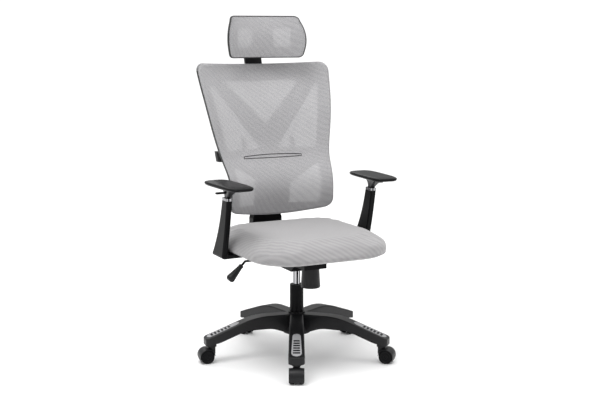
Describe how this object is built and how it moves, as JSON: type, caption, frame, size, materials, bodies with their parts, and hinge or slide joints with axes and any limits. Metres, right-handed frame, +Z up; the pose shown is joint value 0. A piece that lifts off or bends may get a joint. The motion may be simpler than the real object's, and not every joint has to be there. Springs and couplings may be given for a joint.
{
  "type": "office chair",
  "caption": "Height-adjustable mesh swivel chair with headrest, sliding lumbar support, height-adjustable arms, tilt mechanism, gas lift and five-star base on twin-wheel casters.",
  "frame": {"origin": "point on the floor on the axis of the gas lift", "axes": "+Z up along the gas lift, -Y the way the seated person faces, +X the seated person's left"},
  "size_m": [0.7074, 0.7334, 1.2305],
  "materials": {
    "black_nylon": "fine satin texture",
    "grey_plastic": "satin",
    "steel": "plain",
    "black_metal": "satin black powder coat",
    "chrome": "polished",
    "grey_fabric": "light grey woven cover with fine diagonal stripes",
    "grey_mesh": "light grey open mesh",
    "grey_frame": "satin",
    "soft_pad": "soft black moulded foam skin",
    "black_tread": "satin"
  },
  "bodies": {
    "base": {"star_base": "black_nylon", "tread_inserts": "grey_plastic", "caster_stems": "steel", "lift_outer_tube": "black_metal", "lift_guide_bush": "black_nylon"},
    "caster_1": {"caster_1_housing": "black_nylon", "caster_1_axle": "steel"},
    "caster_1_wheel_left": {"caster_1_wheel_left": "black_tread"},
    "caster_1_wheel_right": {"caster_1_wheel_right": "black_tread"},
    "caster_2": {"caster_2_housing": "black_nylon", "caster_2_axle": "steel"},
    "caster_2_wheel_left": {"caster_2_wheel_left": "black_tread"},
    "caster_2_wheel_right": {"caster_2_wheel_right": "black_tread"},
    "caster_3": {"caster_3_housing": "black_nylon", "caster_3_axle": "steel"},
    "caster_3_wheel_left": {"caster_3_wheel_left": "black_tread"},
    "caster_3_wheel_right": {"caster_3_wheel_right": "black_tread"},
    "caster_4": {"caster_4_housing": "black_nylon", "caster_4_axle": "steel"},
    "caster_4_wheel_left": {"caster_4_wheel_left": "black_tread"},
    "caster_4_wheel_right": {"caster_4_wheel_right": "black_tread"},
    "caster_5": {"caster_5_housing": "black_nylon", "caster_5_axle": "steel"},
    "caster_5_wheel_left": {"caster_5_wheel_left": "black_tread"},
    "caster_5_wheel_right": {"caster_5_wheel_right": "black_tread"},
    "lift_rod": {"lift_piston_rod": "steel", "lift_thrust_bearing": "steel", "lift_retaining_clip": "steel"},
    "seat_frame": {"lift_inner_column": "chrome", "mechanism_housing": "black_metal", "tension_bolt": "steel", "tension_spring": "steel"},
    "release_button": {"lift_release_button": "steel"},
    "lever_slide": {"lever_bush": "black_nylon"},
    "lever": {"lever_rod": "black_metal", "lever_grip": "black_nylon"},
    "tension_knob": {"tension_knob": "black_nylon"},
    "tension_nut": {"tension_nut": "steel"},
    "seat": {"tilt_plate": "black_metal", "tilt_axle": "steel", "seat_pan": "black_nylon", "seat_cushion": "grey_fabric", "frame_bolts": "steel", "back_bracket": "black_metal", "back_frame": "grey_frame", "back_mesh": "grey_mesh", "left_arm_bracket": "black_metal", "right_arm_bracket": "black_metal", "arm_collars": "chrome"},
    "lumbar": {"lumbar_support": "black_nylon"},
    "headrest_post": {"headrest_post": "black_nylon"},
    "headrest": {"headrest_frame": "grey_frame", "headrest_mesh": "grey_mesh", "headrest_pin": "steel"},
    "left_arm": {"left_arm_post": "black_nylon", "left_arm_pad": "soft_pad"},
    "left_arm_release": {"left_arm_release_lever": "black_nylon"},
    "right_arm": {"right_arm_post": "black_nylon", "right_arm_pad": "soft_pad"},
    "right_arm_release": {"right_arm_release_lever": "black_nylon"}
  },
  "joints": [
    {"name": "caster_1_swivel", "type": "hinge", "parent": "base", "child": "caster_1", "pos_m": [-0.14178, -0.28688, 0.05], "axis": [0, 0, 1], "continuous": true},
    {"name": "caster_1_spin_left", "type": "hinge", "parent": "caster_1", "child": "caster_1_wheel_left", "pos_m": [-0.15064, -0.3048, 0.025], "axis": [0.8965, -0.4431, 0], "continuous": true},
    {"name": "caster_1_spin_right", "type": "hinge", "parent": "caster_1", "child": "caster_1_wheel_right", "pos_m": [-0.15064, -0.3048, 0.025], "axis": [0.8965, -0.4431, 0], "continuous": true},
    {"name": "caster_2_swivel", "type": "hinge", "parent": "base", "child": "caster_2", "pos_m": [0.22902, -0.22349, 0.05], "axis": [0, 0, 1], "continuous": true},
    {"name": "caster_2_spin_left", "type": "hinge", "parent": "caster_2", "child": "caster_2_wheel_left", "pos_m": [0.24334, -0.23746, 0.025], "axis": [0.6984, 0.7157, 0], "continuous": true},
    {"name": "caster_2_spin_right", "type": "hinge", "parent": "caster_2", "child": "caster_2_wheel_right", "pos_m": [0.24334, -0.23746, 0.025], "axis": [0.6984, 0.7157, 0], "continuous": true},
    {"name": "caster_3_swivel", "type": "hinge", "parent": "base", "child": "caster_3", "pos_m": [0.28333, 0.14875, 0.05], "axis": [0, 0, 1], "continuous": true},
    {"name": "caster_3_spin_left", "type": "hinge", "parent": "caster_3", "child": "caster_3_wheel_left", "pos_m": [0.30103, 0.15805, 0.025], "axis": [-0.4648, 0.8854, 0], "continuous": true},
    {"name": "caster_3_spin_right", "type": "hinge", "parent": "caster_3", "child": "caster_3_wheel_right", "pos_m": [0.30103, 0.15805, 0.025], "axis": [-0.4648, 0.8854, 0], "continuous": true},
    {"name": "caster_4_swivel", "type": "hinge", "parent": "base", "child": "caster_4", "pos_m": [-0.05392, 0.31543, 0.05], "axis": [0, 0, 1], "continuous": true},
    {"name": "caster_4_spin_left", "type": "hinge", "parent": "caster_4", "child": "caster_4_wheel_left", "pos_m": [-0.05729, 0.33514, 0.025], "axis": [-0.9857, -0.1685, 0], "continuous": true},
    {"name": "caster_4_spin_right", "type": "hinge", "parent": "caster_4", "child": "caster_4_wheel_right", "pos_m": [-0.05729, 0.33514, 0.025], "axis": [-0.9857, -0.1685, 0], "continuous": true},
    {"name": "caster_5_swivel", "type": "hinge", "parent": "base", "child": "caster_5", "pos_m": [-0.31665, 0.04619, 0.05], "axis": [0, 0, 1], "continuous": true},
    {"name": "caster_5_spin_left", "type": "hinge", "parent": "caster_5", "child": "caster_5_wheel_left", "pos_m": [-0.33644, 0.04908, 0.025], "axis": [-0.1444, -0.9895, 0], "continuous": true},
    {"name": "caster_5_spin_right", "type": "hinge", "parent": "caster_5", "child": "caster_5_wheel_right", "pos_m": [-0.33644, 0.04908, 0.025], "axis": [-0.1444, -0.9895, 0], "continuous": true},
    {"name": "seat_swivel", "type": "hinge", "parent": "base", "child": "lift_rod", "pos_m": [0, 0, 0.1], "axis": [0, 0, 1], "continuous": true},
    {"name": "seat_height", "type": "slide", "parent": "lift_rod", "child": "seat_frame", "axis": [0, 0, 1], "range_m": [-0.052, 0.04]},
    {"name": "release_button_press", "type": "slide", "parent": "seat_frame", "child": "release_button", "axis": [0, 0, -1], "range_m": [0, 0.0032]},
    {"name": "lever_pull", "type": "slide", "parent": "seat_frame", "child": "lever_slide", "axis": [-1, 0, 0], "range_m": [0, 0.012]},
    {"name": "lever_lift", "type": "hinge", "parent": "lever_slide", "child": "lever", "pos_m": [-0.037, -0.028, 0.374], "axis": [0, 1, 0], "range_deg": [0, 4], "stiffness_Nm_per_rad": 20, "springref_deg": -3.44},
    {"name": "tension_knob_turn", "type": "hinge", "parent": "seat_frame", "child": "tension_knob", "pos_m": [0, -0.112, 0.3], "axis": [0, 0, 1], "range_deg": [-720, 720]},
    {"name": "tension_nut_travel", "type": "slide", "parent": "tension_knob", "child": "tension_nut", "axis": [0, 0, 1], "range_m": [-0.0041, 0.0041], "deforming": ["tension_spring"]},
    {"name": "seat_tilt", "type": "hinge", "parent": "seat_frame", "child": "seat", "pos_m": [0, -0.05, 0.366], "axis": [-1, 0, 0], "range_deg": [0, 10], "stiffness_Nm_per_rad": 250, "springref_deg": -20.05},
    {"name": "lumbar_height", "type": "slide", "parent": "seat", "child": "lumbar", "axis": [0, 0.4019, 0.9157], "range_m": [0, 0.028]},
    {"name": "headrest_height", "type": "slide", "parent": "seat", "child": "headrest_post", "axis": [0, 0.2974, 0.9548], "range_m": [-0.01, 0.045]},
    {"name": "headrest_tilt", "type": "hinge", "parent": "headrest_post", "child": "headrest", "pos_m": [0, 0.322, 1.148], "axis": [1, 0, 0], "range_deg": [-20, 20]},
    {"name": "left_arm_height", "type": "slide", "parent": "seat", "child": "left_arm", "axis": [0, -0.2857, 0.9583], "range_m": [0, 0.07]},
    {"name": "left_arm_release_press", "type": "hinge", "parent": "left_arm", "child": "left_arm_release", "pos_m": [0.289, -0.04557, 0.62575], "axis": [0, 0.9583, 0.2857], "range_deg": [0, 8], "stiffness_Nm_per_rad": 2, "springref_deg": -2.86},
    {"name": "right_arm_height", "type": "slide", "parent": "seat", "child": "right_arm", "axis": [0, -0.2857, 0.9583], "range_m": [0, 0.07]},
    {"name": "right_arm_release_press", "type": "hinge", "parent": "right_arm", "child": "right_arm_release", "pos_m": [-0.289, -0.04557, 0.62575], "axis": [0, -0.9583, -0.2857], "range_deg": [0, 8], "stiffness_Nm_per_rad": 2, "springref_deg": -2.86}
  ],
  "couplings": [
    {"joint": "tension_nut_travel", "follows": "tension_knob_turn", "m_per_rad": 0.0003183},
    {"joint": "release_button_press", "follows": "lever_lift", "m_per_rad": 0.045}
  ]
}
